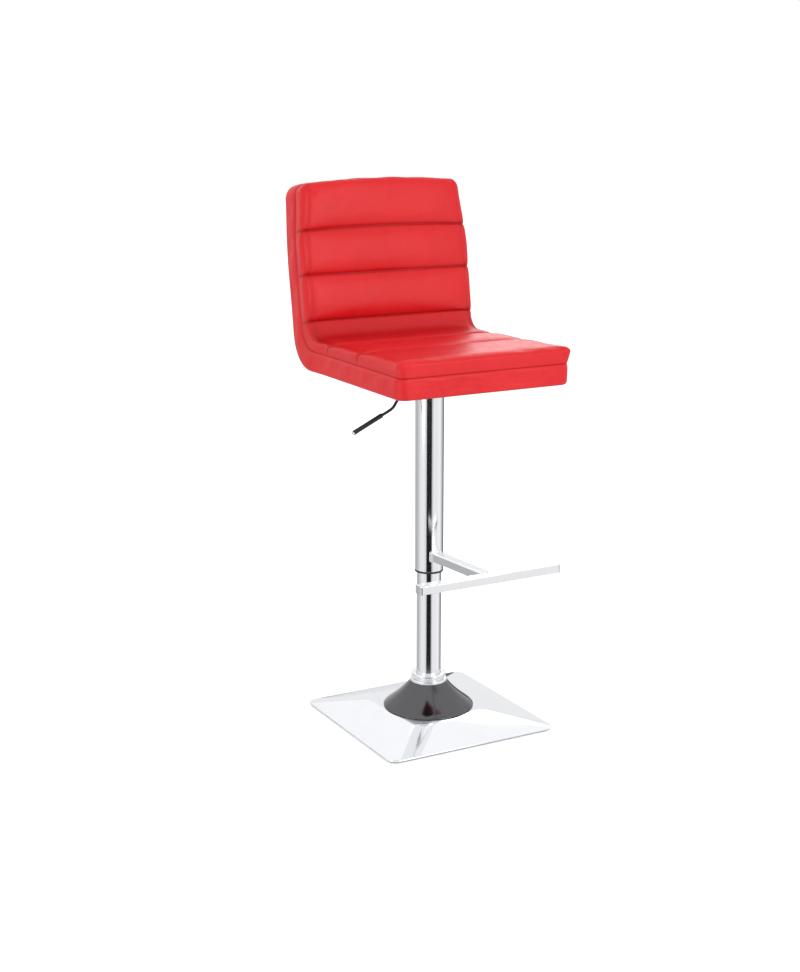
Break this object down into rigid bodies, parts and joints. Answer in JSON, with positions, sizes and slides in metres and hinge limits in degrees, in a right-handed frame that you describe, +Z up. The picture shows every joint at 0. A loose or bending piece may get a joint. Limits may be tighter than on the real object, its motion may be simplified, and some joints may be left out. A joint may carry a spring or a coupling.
{
  "type": "adjustable swivel stool",
  "caption": "Gas-lift swivel stool: square pressed base, telescopic column with T footrest, side lever and a padded one-piece seat and back with sewn channels.",
  "frame": {"origin": "on the floor, on the column's axis, in the middle of the base's underside", "axes": "+Z up along the column; the sitter faces -Y; +X is to the sitter's left"},
  "size_m": [0.391, 0.5322, 1.13],
  "materials": {
    "leatherette_red": "soft semi-gloss red leatherette with sewn channels",
    "padded_leatherette": "soft semi-gloss red leatherette over foam, with sewn channels",
    "chrome": "polished chrome plate",
    "dark_chrome": "polished dark chrome",
    "steel": "zinc-plated steel",
    "black_steel": "black powder coat",
    "black_plastic": "satin black moulded plastic",
    "rubber": "matt black rubber",
    "nylon": "natural nylon",
    "plywood": "bent birch plywood, unfinished",
    "foam": "moulded polyurethane foam",
    "dust_cloth": "black non-woven cloth"
  },
  "bodies": {
    "base": {"floor_pad": "rubber", "base_weight": "steel", "base_plate": "chrome", "base_cone": "dark_chrome", "hub_sleeve": "steel", "collar_ring": "chrome", "lower_tube": "chrome", "guide_bush": "nylon", "column_end_plate": "steel", "bearing_race_lower": "steel"},
    "spindle": {"ball_cage": "steel", "bearing_race_upper": "steel", "thrust_washer": "steel", "rubber_buffer": "rubber", "piston_rod": "steel", "piston": "steel", "rod_washer": "steel", "retaining_clip": "steel"},
    "carriage": {"gas_cylinder": "black_steel", "cylinder_seal": "black_plastic", "cover_tube": "chrome", "cover_bush": "black_plastic", "tube_top_ring": "steel", "footrest_stem": "chrome", "footrest_bar": "chrome", "footrest_cap_left": "chrome", "footrest_cap_right": "chrome", "taper_socket": "black_steel", "lever_bracket": "black_steel", "seat_plate": "black_steel", "lever_pin": "steel", "seat_shell": "plywood", "foam_core": "foam", "channel_pad": "padded_leatherette", "side_gusset": "leatherette_red", "rear_panel": "leatherette_red", "dust_cover": "dust_cloth", "seat_bolt_1": "steel", "seat_washer_1": "steel", "t_nut_1": "steel", "seat_bolt_2": "steel", "seat_washer_2": "steel", "t_nut_2": "steel", "seat_bolt_3": "steel", "seat_washer_3": "steel", "t_nut_3": "steel", "seat_bolt_4": "steel", "seat_washer_4": "steel", "t_nut_4": "steel"},
    "lever": {"lever_rod": "black_steel", "lever_grip": "black_plastic", "lever_tip": "chrome"},
    "button": {"release_button": "steel"}
  },
  "joints": [
    {"name": "swivel", "type": "hinge", "parent": "base", "child": "spindle", "pos_m": [0, 0, 0.03], "axis": [0, 0, 1], "continuous": true},
    {"name": "height_slide", "type": "slide", "parent": "spindle", "child": "carriage", "axis": [0, 0, 1], "range_m": [-0.21, 0]},
    {"name": "lever_hinge", "type": "hinge", "parent": "carriage", "child": "lever", "pos_m": [-0.04, 0, 0.728], "axis": [0, 1, 0], "range_deg": [0, 8], "stiffness_Nm_per_rad": 1.5, "springref_deg": -2.86},
    {"name": "button_press", "type": "slide", "parent": "carriage", "child": "button", "axis": [0, 0, -1], "range_m": [0, 0.006]}
  ],
  "couplings": [
    {"joint": "button_press", "follows": "lever_hinge", "m_per_rad": 0.0415}
  ]
}
